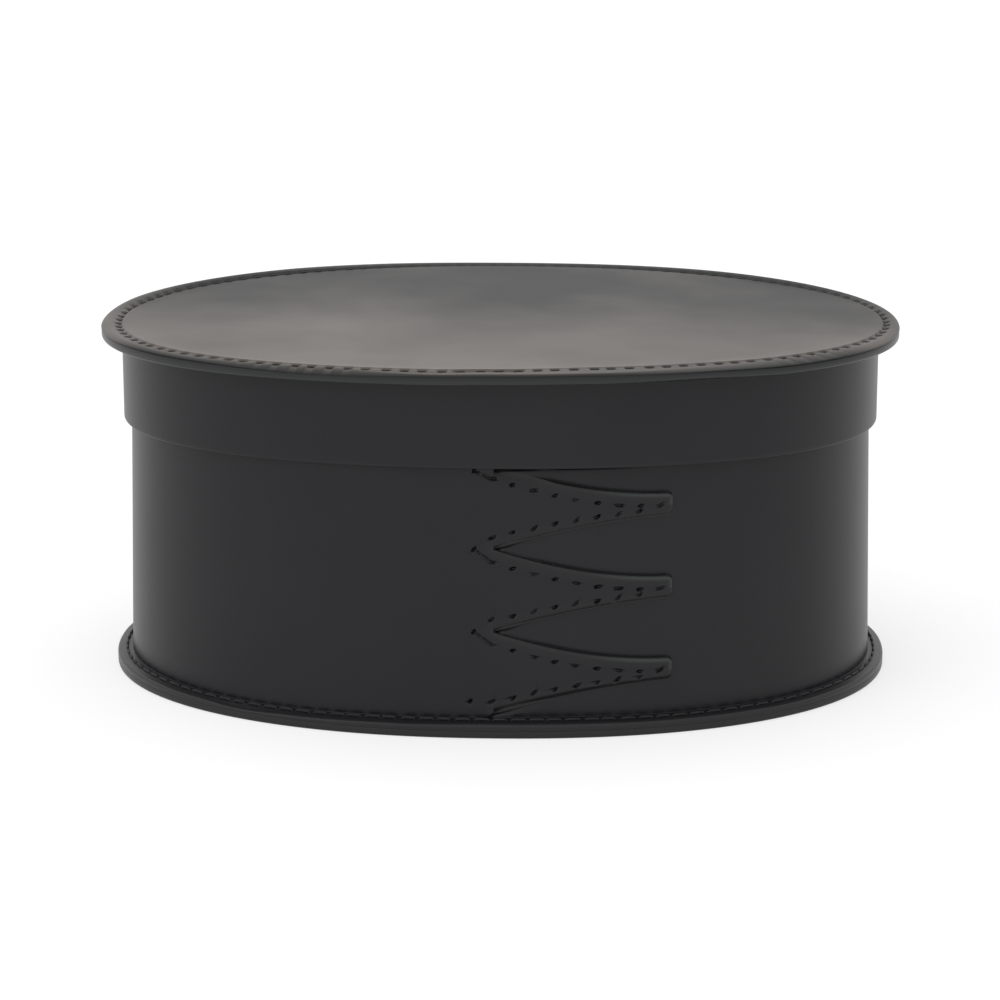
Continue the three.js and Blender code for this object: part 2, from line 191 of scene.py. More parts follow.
def leather(
    name, deep_tone, pale_tone, rubbed_painted_light_tone, gloss, roughness, cloud_size, grain,
    cloud_polish, painted_front_sheen, dulled,
):
    """Waxed leather: two tones clouded by slow noise, cells of fine grain and a soft swell in the bump,
    and a tone and a polish of its own where the wear attribute marks an edge. That tone is partly
    painted light: a painted highlight on the box's edges and painted shade on the lid's margin.
    Cloud_polish is how much smoother the pale clouds are, the front sheen how much the front half
    leans towards them, a painted sheen, and dulled how much rougher the marked edges are."""
    cells_per_metre = 1400.0
    swells_per_metre = 45.0
    clouded = 0.35  # how far the clouds move the tone from its middle
    finish = bpy.data.materials.new(name)
    tree = blank_nodes(finish)
    place = wire(tree, "TexCoord", {}).outputs["Object"]
    worn_painted_light = wire(tree, "Attribute", {}, attribute_name="wear_painted_light").outputs["Fac"]
    cloud = wire(tree, "TexNoise", {
        "Vector": place, "Scale": 1 / cloud_size, "Detail": 3.0, "Roughness": 0.5,
    }).outputs["Fac"]
    drift = wire(tree, "MapRange", {
        "Value": cloud, "From Min": 0.3, "From Max": 0.7, "To Min": -clouded, "To Max": clouded,
    })
    # The front half leans towards the pale tone: a painted sheen that makes the front lighter, as a
    # sheen seen at a low angle would.
    across = wire(tree, "SeparateXYZ", {0: place}).outputs["Y"]
    front = wire(tree, "MapRange", {
        "Value": across, "From Min": 0.06, "From Max": -0.06,
        "To Min": 0.5 - painted_front_sheen, "To Max": 0.5 + painted_front_sheen,
    }, interpolation_type="SMOOTHSTEP")
    pale = wire(tree, "Math", {0: drift, 1: front}, operation="ADD", use_clamp=True)
    tone = wire(tree, "Mix", {0: pale, 6: deep_tone, 7: pale_tone}, data_type="RGBA")
    # Where the wear attribute is set, the rubbed tone takes over. This is partly rubbing and partly
    # painted light: a painted highlight on the box's edges and painted shade on the lid's margin.
    colour = wire(tree, "Mix", {0: worn_painted_light, 6: tone.outputs[2], 7: rubbed_painted_light_tone}, data_type="RGBA")
    smooth = wire(tree, "MapRange", {
        "Value": pale, "To Min": roughness + cloud_polish, "To Max": roughness - cloud_polish,
    })
    polish = wire(tree, "Mix", {0: worn_painted_light, 2: smooth, 3: roughness + dulled})
    cells = wire(tree, "TexVoronoi", {
        "Vector": place, "Scale": cells_per_metre,
    }, feature="DISTANCE_TO_EDGE")
    pores = wire(tree, "MapRange", {"Value": cells, "From Max": 0.25})
    fine = wire(tree, "Bump", {"Strength": grain, "Distance": 0.00012, "Height": pores})
    swell = wire(tree, "TexNoise", {"Vector": place, "Scale": swells_per_metre, "Detail": 2.0})
    relief = wire(tree, "Bump", {
        "Strength": grain, "Distance": 0.0004, "Height": swell.outputs["Fac"], "Normal": fine,
    })
    skin = wire(tree, "BsdfPrincipled", {
        "Base Color": colour.outputs[2], "Roughness": polish, "Normal": relief,
        "Specular IOR Level": gloss,
    })
    wire(tree, "OutputMaterial", {"Surface": skin})
    return finish


# Its rubbed tone is much lighter than the leather. On the rubbed edges it also paints a highlight.
black_leather = leather(
    "black_waxed_leather",
    deep_tone=(0.0078, 0.0068, 0.0092, 1),
    pale_tone=(0.0115, 0.0103, 0.0126, 1),
    rubbed_painted_light_tone=(0.045, 0.049, 0.0475, 1),
    gloss=0.28,
    roughness=0.37,
    cloud_size=0.05,
    grain=0.1,
    cloud_polish=0.02,
    painted_front_sheen=0.0,
    dulled=-0.04,
)

# Rows of the base's grid, each (share of the oval, reach, height), from the middle of its underside
# round its edge to the middle of its top.
base_rows = np.array(
    [(share, 0, 0) for share in (0, 0.3, 0.6, 0.85, 1)]
    + [(1, foot_seam + side, depth * under_channel_depth) for side, depth in under_channel]
    + [(1, foot_reach - 1.4, 0)]
    + [
        (1, foot_reach - base_round * (1 - math.sin(a)), base_round * (1 - math.cos(a)))
        for a in np.linspace(0, math.pi / 2, 6)
    ]
    + [(1, foot_reach, base_thick - 0.06), (1, foot_reach - 0.02, base_thick - 0.02)]
    + [(1, foot_reach - 0.06, base_thick), (1, foot_seam, base_thick)]
    + [(share, 0, base_thick) for share in (1, 0.85, 0.6, 0.3, 0)]
)
base_turn = turn_at(foot_reach, np.arange(base_columns) / base_columns)[0]
base_points = stand(base_turn, base_rows[:, 1:2], base_rows[:, 2:3], base_rows[:, 0:1])
# The rim is painted with a share of the rubbed tone: partly rubbing, partly a painted highlight.
base_wear_and_highlight = rim_rub_and_highlight * np.broadcast_to(base_rows[:, 1:2] > foot_reach - 1, base_points.shape[:2])
base_faces = grid_faces(len(base_rows), base_columns, False, True)
base_panel = make_piece("base", base_points, base_faces, black_leather, base_wear_and_highlight)
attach(base_panel, "box")
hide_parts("base_panel")

# The wall is one strip of leather, bent round the oval and lapped over its own start. Three
# swallowtail fingers are cut on the outer end and sewn down along their edges. The foot of the
# strip is turned outward, and the two ends of that flange meet in a slanting butt.
wall_top = 94.6
wall_foot = 5.3
wall_flare = 2.0
wall_thick = 2.2
foot_bend = 0.15  # radius in the corner
foot_top = 4.3  # of the flange beside the wall
foot_rim_top = 3.95  # of the flange at its rim
foot_under = 2.0
foot_round = 0.8
brim_round = 0.6  # of the corners of the wall's top edge
lap_cut = 0.8  # x of the notches
lap_tip = 46.3  # x of the finger tips
lap_tuck = -9.7  # x where the inner end of the strip starts
lap_ease = 0.09  # of a turn, in which the inner layer comes out flush past the tips
finger_pitch = 21.867  # height from one notch to the next
notch_heights = wall_foot + finger_pitch * np.arange(4)
upper_drop = 8.3  # how far a finger's upper edge comes down by its tip
lower_rise = 7.6
edge_power = 1.8
tip_corner = 1.4
shoulder = 0.6  # rounding of a finger's upper edge and tip
pared = 1.7  # width over which its lower edge is pared down
# The zone along a finger's edge that burnishing has polished is painted lighter, partly a painted
# highlight.
polished_highlight_width = 4.0  # width of the zone that burnishing the edge has polished
butt_slant = 3.6
butt_reach = 11.0  # how far from the butt the flange is drawn aside with it
hole_pitch = 5.375
seam_x = 0.3 + hole_pitch * np.arange(9)  # holes along a finger
tail_x = -4.2  # hole behind a notch
tail_top = 69.7  # the highest of these, just under the mouth of the lid
upper_row = 3.5  # from a finger's upper edge to its row of holes
lower_row = 3.1  # from its lower edge, beside the notch
lower_row_less = 1.6  # how much closer to the lower edge the row is by the tip
low_ease = 0.55  # how much of the step between the layers is left at the foot
low_zone = 16.0  # height up to which the layers lie closer
bow = 1.11  # how far the lid and the top edge of the wall sink by x = 100
bow_from = 75.0  # height from which the wall sinks too
hair = 1e-5  # two columns this far apart meet, and stand for a cut
elsewhere = 200.0  # stands for x on the columns away from a lap

# The flange: at some x along the box, how far it has been pressed down at its seam and how far its
# rim has been hammered thin.
foot_by_hand = np.array([
    (-110, 0.3, 0.3),
    (-90, 0.35, 0.4),
    (-75, 0.5, 0.65),
    (-63, 0.55, 1.15),
    (-50, 0.5, 0.8),
    (-25, 0.1, 0.45),
    (0, 0.0, 0.12),
    (15, 0.0, 0.1),
    (50, 0.35, 0.3),
    (63, 0.35, 0.35),
    (75, 0.4, 0.5),
    (90, 0.3, 0.4),
    (110, 0.3, 0.3),
])


def ease(v, low, high):
    """0 below low, 1 above high, and 3s^2 - 2s^3 between, where s is the share of the way."""
    s = np.clip((v - low) / (high - low), 0, 1)
    return s * s * (3 - 2 * s)


def by_hand(at, table, column):
    """A value of a table at a place along it, eased from each row to the next by 3s^2 - 2s^3."""
    places, values = table[:, 0], table[:, column]
    before = np.clip(np.searchsorted(places, at, side="right") - 1, 0, len(places) - 2)
    eased = ease(at, places[before], places[before + 1])
    return values[before] * (1 - eased) + values[before + 1] * eased


def lean(height):
    """The wall leans out in a straight line, from nothing at its top to its whole flare at its foot."""
    return wall_flare * (wall_top - height) / (wall_top - wall_foot)


def front_turn(x):
    """The turn at which the front of the oval lies at x."""
    return np.arcsin(signed_power(2 * x / oval_length, oval_power / 2)) / (2 * np.pi)


def sink(x):
    """The lid's sheets sag a little towards the ends of the box: bow * (x / 100)^2."""
    return bow * (x / 100) ** 2


def step_ease(height):
    """The layers come closer towards the foot: low_ease there, and 1 from the height low_zone on."""
    return low_ease + (1 - low_ease) * ease(height, 6, low_zone)


def finger_share(x):
    """The share of a finger's length that lies behind x."""
    return np.clip((x - lap_cut) / (lap_tip - lap_cut), 0, 1)


def finger_edges(x):
    """How far an upper edge has come down and a lower edge has come up at x: the whole way times
    1 - (1 - s)^p, where s is the share of the finger's length, and round at the corners of the tip."""
    corner = np.clip(x - (lap_tip - tip_corner), 0, tip_corner)
    rounding = tip_corner - np.sqrt(tip_corner**2 - corner**2)
    closed = 1 - (1 - finger_share(x)) ** edge_power
    return upper_drop * closed + rounding, lower_rise * closed + rounding


def lap_step(x):
    """How far in the inner layer lies, as both layers are pared where they lap: 0.7, and 0.6 more from
    x = 16 on, and a pit that is 0.5 deeper right at the notches."""
    pit = 1 - ease(x, lap_cut + 0.5, lap_cut + 2.5)
    return 0.7 + 0.6 * ease(x, 5, 16) + 0.5 * pit


# Columns of the wall's grid: close together at the holes, at the notches and at the tips.
near_hole = np.array([-2.1, -1.5, -1.1, -0.75, -0.5, -0.25, 0, 0.25, 0.5, 0.75, 1.1, 1.5, 2.1, 2.7])
near_cut = np.array([-0.5, -0.25, -0.1, -hair, hair, 0.1, 0.25, 0.5])
lap_x = np.unique(np.concatenate([
    [-14, -12, -10.5, -8, -7.2, 47.4, 48.6, 50],
    lap_tuck + near_cut[[3, 4]],
    tail_x + near_hole,
    (seam_x[:, None] + near_hole).ravel(),
    lap_cut + near_cut,
    lap_tip + near_cut,
]))
lap_turn = front_turn(lap_x)
rest_turn = np.linspace(lap_turn[-1], 1 + lap_turn[0], 202)[1:-1]
wall_turn = np.concatenate([lap_turn, rest_turn])
wall_x = np.concatenate([lap_x, np.full(len(rest_turn), elsewhere)])
is_round = wall_x == elsewhere
near_lap = ~is_round
before_lap = is_round & (wall_turn > 0.9)

# Half the opening between two fingers, above and below each notch. Behind the notches it only
# spreads the rows of the grid.
spread = 3.0
drop, rise = finger_edges(np.minimum(wall_x, lap_tip))
behind = np.clip(-0.5 * wall_x, 0, spread)
drop = np.where(wall_x < lap_cut, behind, drop)
rise = np.where(wall_x < lap_cut, behind, rise)
fade = (wall_turn - lap_turn[-1]) / (1 + lap_turn[0] - lap_turn[-1])
drop = np.where(is_round, drop * (1 - fade) + spread * fade, drop)
rise = np.where(is_round, rise * (1 - fade) + spread * fade, rise)
lower_inset = lower_row - lower_row_less * finger_share(wall_x)

edge_rows = np.array([0, 0.05, 0.15, 0.35, 0.65, 1.0, 1.5, 2.0])
seam_rows = np.array([-1.0, -0.7, -0.45, -0.2, 0, 0.2, 0.45, 0.7, 1.0])
gap_rows = np.array([
    -1, -0.97, -0.93, -0.88, -0.8, -0.7, -0.6, -0.42, -0.3, -0.2, -0.1,
    0, 0.1, 0.2, 0.3, 0.42, 0.6, 0.85, 1,
])
top_rows = np.array([0, 0.3, 0.6, 0.9, 1.2, 1.6, 2.2, 3.2])
mouth_rows = np.array([69.0, 69.4, 69.7, 70.0, 70.4, 71, 72, 74])  # heights round the lid's mouth
high_rows = np.array([0.2, 0.4, 0.6, 0.8, 1])
height_rows = [wall_foot + rise * s for s in (0, 0.15, 0.35, 0.6, 0.85, 1)]
row_is_finger = [False] * len(height_rows)
for k in range(3):
    low, high = notch_heights[k] + rise, notch_heights[k + 1] - drop
    middle = (low + high) / 2
    targets = np.concatenate([
        low + edge_rows[:, None],
        low + lower_inset + seam_rows[:, None],
        middle + (high - low) * np.array([-0.12, 0, 0.12])[:, None],
        high - upper_row + seam_rows[:, None],
        high - edge_rows[:, None],
    ])
    height_rows += list(np.sort(np.clip(targets, low, high), axis=0))
    row_is_finger += [True] * len(targets)
    if k < 2:
        half = np.where(gap_rows[:, None] < 0, drop, 0) + np.where(gap_rows[:, None] > 0, rise, 0)
        height_rows += list(notch_heights[k + 1] + gap_rows[:, None] * half)
        row_is_finger += [False] * len(gap_rows)
over_finger = notch_heights[3] - drop + top_rows[:, None]
at_mouth = [np.maximum(over_finger[-1] + 0.1 * i, height) for i, height in enumerate(mouth_rows, 1)]
to_top = at_mouth[-1] + (wall_top - brim_round - at_mouth[-1]) * high_rows[:, None]
height_rows += [*over_finger, *at_mouth, *to_top]
row_is_finger += [False] * (len(height_rows) - len(row_is_finger))
face_height = np.array(height_rows)
row_is_finger = np.array(row_is_finger)[:, None]
face_x = np.broadcast_to(wall_x, face_height.shape)
is_outer = np.where(row_is_finger, face_x < lap_tip, face_x < lap_cut)
is_outer = is_outer | before_lap

# The edges are rounded above and at the tips, and pared down in a soft slope below.
from_low = (face_height - notch_heights[:3, None, None] - rise).clip(-1)
from_high = (notch_heights[1:, None, None] - drop - face_height).clip(-1)
in_finger = np.minimum(from_low, from_high).argmax(axis=0)[None]
from_low = np.take_along_axis(from_low, in_finger, 0)[0]
from_high = np.take_along_axis(from_high, in_finger, 0)[0]
from_notch = np.hypot(face_x - lap_cut, face_height - notch_heights[:, None, None]).min(axis=0)
from_end = np.where(face_height > notch_heights[3], lap_cut - face_x, from_notch)
from_tip = lap_tip - face_x
past_notch = face_x > lap_cut
from_round = np.where(past_notch, np.minimum(from_high, from_tip), np.minimum(from_notch, from_end))
from_cut = np.maximum(np.where(past_notch, np.minimum(from_round, from_low), from_round), 0)
inside_round = shoulder - np.clip(from_round, 0, shoulder)
rounded = shoulder - np.sqrt(shoulder**2 - inside_round**2)
slope_wide = pared + 0.3 * (face_height < low_zone)
slope = 0.8 * (1 - ease(np.where(past_notch, from_low, slope_wide), 0, slope_wide)) ** 1.5

# The first stretch of the highest finger's upper edge is pared flush as well. The lid has pressed
# both layers in there, right under its mouth.
flush = (face_height > 60) * past_notch * (1 - ease(face_x, 9, 18))
slope = np.maximum(slope, flush * (1 - ease(from_high, 0, 4.5)))
rounded = np.minimum(
    np.maximum(rounded * (1 - flush), slope),
    (lap_step(face_x) - 0.12 * (1 - flush)) * step_ease(face_height),
)
pressed = 0.9 * ease(face_height, 69.1, 70.3) * (1 - ease(face_height, 71, 74))
pressed = pressed * past_notch * (1 - 0.5 * ease(face_x, 3, 16))
pressed = pressed * (1 - ease(face_x, 26, 48))

# The inner layer is drawn in along the fingers' upper edges, and along the lower ones by the notches.
above_edge = face_height - (notch_heights[1:, None, None] - drop)
above_edge = np.where(above_edge < -0.001, np.inf, above_edge).min(axis=0)
below_edge = notch_heights[:3, None, None] + rise - face_height
below_edge = np.where(below_edge < -0.001, np.inf, below_edge).min(axis=0)
gutter = np.maximum(
    0.16 * (1 - flush) * (1 - ease(above_edge, 0, 1.2)) * (1 - ease(face_x, 45.8, 47.4)),
    0.7 * (1 - ease(below_edge, 0, 1.5)) * (1 - ease(face_x, 4, 16)),
) * past_notch * ~is_outer

# The seam of the fingers: its holes, and the runs that show outside. A run pulls hardest where it
# ends, so some holes are small and round, and others are deep or drawn out along the run.
upper_fall, lower_climb = finger_edges(seam_x)
finger_runs = []
finger_holes = []
tail_slant, lower_slant = 0.85, 0.55
upper_kinds = ((0.12, 1.05, 1.0), (-0.1, 0.75, 1.6))  # slant, depth and stretch of every other hole
lower_kinds = ((lower_slant, 0.75, 1.4), (lower_slant, 1.05, 1.0))
hole_stray = (0.12, 0.1, 0.12, 0.12, 0.1)
for k in range(3):
    upper = notch_heights[k + 1] - upper_fall - upper_row
    lower = notch_heights[k] + lower_climb + lower_row - lower_row_less * finger_share(seam_x)
    upper[-1] = (notch_heights[k + 1] - upper_fall[-1] + notch_heights[k] + lower_climb[-1]) / 2
    tail = (tail_x, min(notch_heights[k + 1], tail_top))
    high_row = [tail] + list(zip(seam_x, upper))
    low_row = list(zip(seam_x[:-1], lower[:-1]))
    for row, kinds in ((high_row, upper_kinds), (low_row, lower_kinds)):
        finger_holes += [(*hole, *kinds[i % 2]) for i, hole in enumerate(row)]
        finger_runs += zip(row[::2], row[1::2])
finger_holes.append((-5.1, 8.5, tail_slant, 1.0, 1.0))  # one more, just above the foot
finger_holes = np.array(finger_holes)  # x, height, slant, depth, how many times as long as the rest
finger_holes[::18, 2] = tail_slant
finger_holes[9::18, 2] = lower_slant
finger_holes += np.random.default_rng(4).normal(0, 1, finger_holes.shape) * hole_stray
finger_runs = np.array(finger_runs)  # run, end, (x, height)


def hole_dents(x, height, holes, long, wide):
    """Pricked holes, each (x, height, slant, depth, stretch), with half the length and width that they
    share. Each is an oval dent, turned by its slant, as deep as depth * (1 - ease(r, 0.2, 1.2)), where
    r is the distance from its middle in shares of long * stretch and wide. The leather below each is
    pulled up into a low lip."""
    dent = np.zeros(x.shape)
    for middle_x, middle_height, slant, depth, stretch in holes:
        dx, dz = x - middle_x, height - middle_height
        near = (np.abs(dx) < 3 * long) & (np.abs(dz) < 3 * long)
        dx, dz = dx[near], dz[near]
        lengthwise = (dx * math.cos(slant) + dz * math.sin(slant)) / (long * stretch)
        crosswise = (dz * math.cos(slant) - dx * math.sin(slant)) / wide
        r = np.hypot(lengthwise, crosswise)
        dent[near] += depth * (1 - ease(r, 0.2, 1.2))
        dent[near] -= 0.14 * depth * np.exp(-(((crosswise + 2.1) / 0.7) ** 2) - lengthwise**2)
    return dent


def run_furrows(x, height, runs, wide, pull, start):
    """Furrows where the runs are drawn into the leather: pull * ease(s, start, 1) at a share s of the
    run, and fading out with the distance from its line."""
    furrow = np.zeros(x.shape)
    for (x0, z0), (x1, z1) in runs:
        length = math.hypot(x1 - x0, z1 - z0)
        ux, uz = (x1 - x0) / length, (z1 - z0) / length
        lengthwise = np.clip((x - x0) * ux + (height - z0) * uz, 0, length)
        distance = np.hypot(x - x0 - lengthwise * ux, height - z0 - lengthwise * uz)
        here = pull * ease(lengthwise / length, start, 1)
        furrow = np.maximum(furrow, here * (1 - ease(distance, 0, wide)))
    return furrow


# The runs behind the notches are drawn in along their whole length.
on_lap = near_lap & is_outer
dents = np.zeros(face_height.shape)
lap_place = (face_x[on_lap], face_height[on_lap])
dents[on_lap] = np.maximum.reduce([
    hole_dents(*lap_place, finger_holes, 1.1, 0.5),
    run_furrows(*lap_place, finger_runs, 0.6, 0.5, 0.4),
    run_furrows(*lap_place, finger_runs[::9], 0.6, 0.8, -1.5),
])
tip_turn = front_turn(np.array(lap_tip))
inner_shift = -lap_step(wall_x) * (1 - ease(wall_turn, tip_turn, tip_turn + lap_ease))
face_shift = np.where(is_outer, 0, inner_shift * step_ease(face_height))
face_shift = face_shift - pressed - gutter
face_reach = lean(face_height) + face_shift - is_outer * (near_lap * rounded + dents)
# The fingers' edges are painted lighter: rubbing, and a painted highlight along the upper edges near
# the tips, where the cut edge catches the light.
by_tip = ease(face_x, 22, 38) * (from_high < from_low)
rub_and_highlight = (1 - ease(from_cut, 0.5, 1.2)) * (0.1 + 0.6 * by_tip)
rub_and_highlight = rub_and_highlight + 0.12 * (1 - ease(from_cut, 0.3, polished_highlight_width))
face_wear_and_highlight = is_outer * near_lap * np.clip(rub_and_highlight, 0, 1)

# The top edge, with a fine groove where the two layers lie side by side.
cut_shift = np.where((wall_x < lap_cut) | before_lap, 0, inner_shift)
inside_shift = np.where((wall_x < lap_tuck) | before_lap, 0, inner_shift)
is_double = (wall_x > lap_tuck) & (wall_x < lap_cut)
brim_share = np.array([
    0, 0.02, 0.06, 0.13, 0.25, 0.38, 0.44, 0.5, 0.56, 0.62, 0.75, 0.87, 0.94, 0.98, 1,
])[:, None]
brim_thick = cut_shift - inside_shift + wall_thick
brim_in = brim_share * brim_thick
from_brim = np.minimum(brim_in, brim_thick - brim_in)
brim_drop = brim_round - np.sqrt(brim_round**2 - np.clip(brim_round - from_brim, 0, brim_round) ** 2)
brim_groove = 0.8 * is_double * (1 - ease(np.abs(brim_in - brim_thick / 2), 0.05, 0.35))
brim_height = wall_top - brim_drop - brim_groove
brim_reach = lean(wall_top) + cut_shift - brim_in

# The inner face, the bends and the flange of the foot.
inside_height = np.array([93.9, 80, 60, 40, 20, 9, wall_foot])[:, None] + 0 * wall_turn
inside_reach = lean(inside_height) + inside_shift * step_ease(inside_height) - wall_thick
bend_angle = np.linspace(math.pi, 1.5 * math.pi, 7)[:, None]
corner = wall_flare + low_ease * cut_shift + foot_bend
under_bend_reach = corner + (foot_bend + wall_thick) * np.cos(bend_angle)
under_bend_height = foot_top + foot_bend + (foot_bend + wall_thick + 0.1) * np.sin(bend_angle)
under_bend_height = under_bend_height + 0 * cut_shift
rim_angle = np.linspace(0, math.pi / 2, 6)
rim_rows = np.array(
    [(foot_seam + 1.5, foot_under), (foot_reach - 0.06, foot_under)]
    + [(foot_reach - 0.02, foot_under + 0.02), (foot_reach, foot_under + 0.06)]
    + [
        (foot_reach - foot_round * (1 - math.cos(a)), foot_rim_top - foot_round * (1 - math.sin(a)))
        for a in rim_angle
    ]
    + [(foot_reach - 1.6, foot_rim_top + 0.12), (foot_reach - 2.4, foot_top - 0.06)]
)
rim_reach = rim_rows[:, 0:1] + 0 * cut_shift
seam_drop, rim_drop = (by_hand(oval(wall_turn)[0][:, 0], foot_by_hand, column) for column in (1, 2))
rim_lowest = foot_under + 0.06
rim_climb = np.clip(rim_rows[:, 1:2] - rim_lowest, 0, None)
rim_height = rim_rows[:, 1:2] - rim_climb * rim_drop / (foot_rim_top - rim_lowest)
rim_height[-1] = rim_rows[-1, 1] - seam_drop
top_bend_reach = corner + foot_bend * np.cos(bend_angle[::-1])
top_bend_height = foot_top + foot_bend + foot_bend * np.sin(bend_angle[::-1]) - seam_drop

# Each block's share of the lighter rubbed tone. On the brim and on the foot's rim it is partly a
# painted highlight.
blocks = [
    (face_reach, face_height, face_wear_and_highlight),
    (brim_reach, brim_height, 0 * brim_height + 0.4),
    (inside_reach, inside_height, 0 * inside_height),
    (under_bend_reach, under_bend_height, 0 * under_bend_height),
    (rim_reach, rim_height, rim_rub_and_highlight * ease(rim_reach, foot_reach - 1.8, foot_reach - 0.6)),
    (top_bend_reach, top_bend_height, 0 * top_bend_height),
]
wall_reach, wall_height, wall_wear_and_highlight = (np.concatenate(part) for part in zip(*blocks))

# The butt of the flange slants: its columns are drawn to the left, the more the lower they lie.
low_share = np.clip((wall_foot - wall_height) / (wall_foot - foot_rim_top), 0, 1)
to_left = butt_slant * low_share * np.clip(1 - np.abs(wall_x - lap_cut) / butt_reach, 0, 1)
slanted_turn = np.where(near_lap, front_turn(np.where(near_lap, wall_x - to_left, 0)), wall_turn)
at_butt = near_lap * (wall_height < wall_foot - 0.2) * (wall_height > foot_rim_top - 0.3)
at_butt = at_butt * (1 - ease(wall_reach, foot_seam + 0.8, foot_seam + 1.8))
wall_height = wall_height - at_butt * 0.9 * (1 - ease(np.abs(wall_x - lap_cut), 0.08, 0.28))
wall_points = stand(slanted_turn, wall_reach, wall_height)
raised = np.clip((wall_points[..., 2] - bow_from) / (wall_top - bow_from), 0, 1)
wall_points[..., 2] -= sink(wall_points[..., 0]) * raised
wall_faces = grid_faces(*wall_height.shape, True, True)
body_wall = make_piece("wall", wall_points, wall_faces, black_leather, wall_wear_and_highlight)
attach(body_wall, "box")
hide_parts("body_wall")

# The threads are waxed black linen. This one sews the flange of the wall to the base, right
# round, in saddle stitch: each stitch dips into a hole at either end and shows on both faces.
rim_stitch = 4.75  # pitch
foot_row = 0.9  # how much further out the stitches on the flange lie than those under the base
stitch_rings = 13
stitch_sides = 8


def thread_stitches(name, starts, ends, out, lift, dive, radius, snap=8):
    """Short lengths of thread, one for each pair of holes. A stitch runs straight from start to end at
    lift above the leather, and dips by (2t - 1)^snap times lift + dive towards its ends. Its round
    section is carried along it, a little thinner where it dips."""
    t = np.linspace(0, 1, stitch_rings)[None, :, None]
    height = lift - (lift + dive) * (2 * t - 1) ** snap
    path = starts[:, None] * (1 - t) + ends[:, None] * t + out[:, None] * height
    ahead = np.gradient(path, axis=1)
    ahead /= np.linalg.norm(ahead, axis=-1, keepdims=True)
    aside = np.cross(ahead, out[:, None])
    aside /= np.linalg.norm(aside, axis=-1, keepdims=True)
    above = np.cross(aside, ahead)
    around = (2 * np.pi * np.arange(stitch_sides) / stitch_sides)[:, None]
    swell = radius * (1 - 0.25 * (2 * t - 1) ** 4)[..., None]
    section = np.cos(around) * aside[:, :, None] + np.sin(around) * above[:, :, None]
    rings = path[:, :, None] + swell * section
    tips = np.repeat(path[:, [0, -1], None], stitch_sides, 2)
    rings = np.concatenate([tips[:, :1], rings, tips[:, 1:]], 1)
    count, rows = rings.shape[:2]
    faces = grid_faces(rows, stitch_sides, False, True)[:, ::-1]
    side = faces % stitch_sides
    around_share = np.where((side == 0) & (side.max(1, keepdims=True) > 1), 1, side / stitch_sides)
    along = np.stack([around_share, (faces // stitch_sides) / (rows - 1)], -1)
    faces = faces[None] + (np.arange(count) * rows * stitch_sides)[:, None, None]
    along = np.tile(along.astype(np.float32), (count, 1, 1, 1))
    return make_piece(name, rings, faces.reshape(-1, 4), linen, along=along)


def waxed_linen(name):
    """Waxed linen thread: black, matt, with the slanting ridges of its three twisted plies."""
    finish = bpy.data.materials.new(name)
    tree = blank_nodes(finish)
    along = wire(tree, "UVMap", {}, uv_map="along")
    turned = wire(tree, "Mapping", {"Vector": along, "Scale": (3.0, 7.0, 1.0)})
    plies = wire(tree, "TexWave", {"Vector": turned, "Scale": 1.0}, bands_direction="DIAGONAL")
    tone = wire(tree, "Mix", {
        0: plies.outputs["Fac"], 6: (0.008, 0.008, 0.0083, 1), 7: (0.021, 0.0215, 0.021, 1),
    }, data_type="RGBA")
    ridges = wire(tree, "Bump", {"Strength": 0.6, "Distance": 0.0002, "Height": plies.outputs["Fac"]})
    skin = wire(tree, "BsdfPrincipled", {
        "Base Color": tone.outputs[2], "Roughness": 0.5, "Normal": ridges, "Specular IOR Level": 0.35,
    })
    wire(tree, "OutputMaterial", {"Surface": skin})
    return finish


linen = waxed_linen("waxed_linen")


def seam_round(reach, height, face, cover, uneven=0.0):
    """The ends of one stitch in each pitch round the oval, on the face that looks up (1) or down (-1).
    A stitch covers a share of its pitch. Uneven is how far its middle may stray, as a share of its
    pitch, and its length may change by 1.5 times that share of itself."""
    count = round(turn_at(reach, np.zeros(1))[1] / rim_stitch)
    stray = np.random.default_rng(7).uniform(-uneven, uneven, (2, count))
    middle = np.arange(count) + 0.5 + stray[0]
    half = cover / 2 * (1 + 1.5 * stray[1])
    start, end = (
        stand(turn_at(reach, (middle + side * half) / count)[0], reach, height) for side in (-1, 1)
    )
    return start, end, np.broadcast_to([0.0, 0.0, float(face)], start.shape)


upper_seam = seam_round(foot_seam + foot_row, foot_top - 0.05, 1, 0.8, uneven=0.06)
for stitch_ends in upper_seam[:2]:
    stitch_ends[:, 2] -= by_hand(stitch_ends[:, 0], foot_by_hand, 1)
under_seam = seam_round(foot_seam, under_channel_depth, -1, 0.97)
base_thread = thread_stitches(
    "base_seam",
    *(np.concatenate(parts) for parts in zip(upper_seam, under_seam)),
    lift=0.2, dive=0.7, radius=0.36, snap=16,
)
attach(base_thread, "box")
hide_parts("base_seam_thread", "base_seam_under_thread")

# One thread of waxed linen sews all three fingers down in running stitch: out along one stitch,
# in behind the next, along one edge of a finger, round its tip and back along the other.
hole_turn = front_turn(finger_runs[..., 0])
hole_points = stand(hole_turn, lean(finger_runs[..., 1]), finger_runs[..., 1])
run_out = np.concatenate([oval(hole_turn.mean(1))[1], np.zeros((len(hole_points), 1))], -1)
finger_thread = thread_stitches(
    "finger_seam", hole_points[:, 0], hole_points[:, 1], run_out,
    lift=-0.75, dive=0.6, radius=0.26, snap=4,
)
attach(finger_thread, "box")
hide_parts("finger_seam_thread")

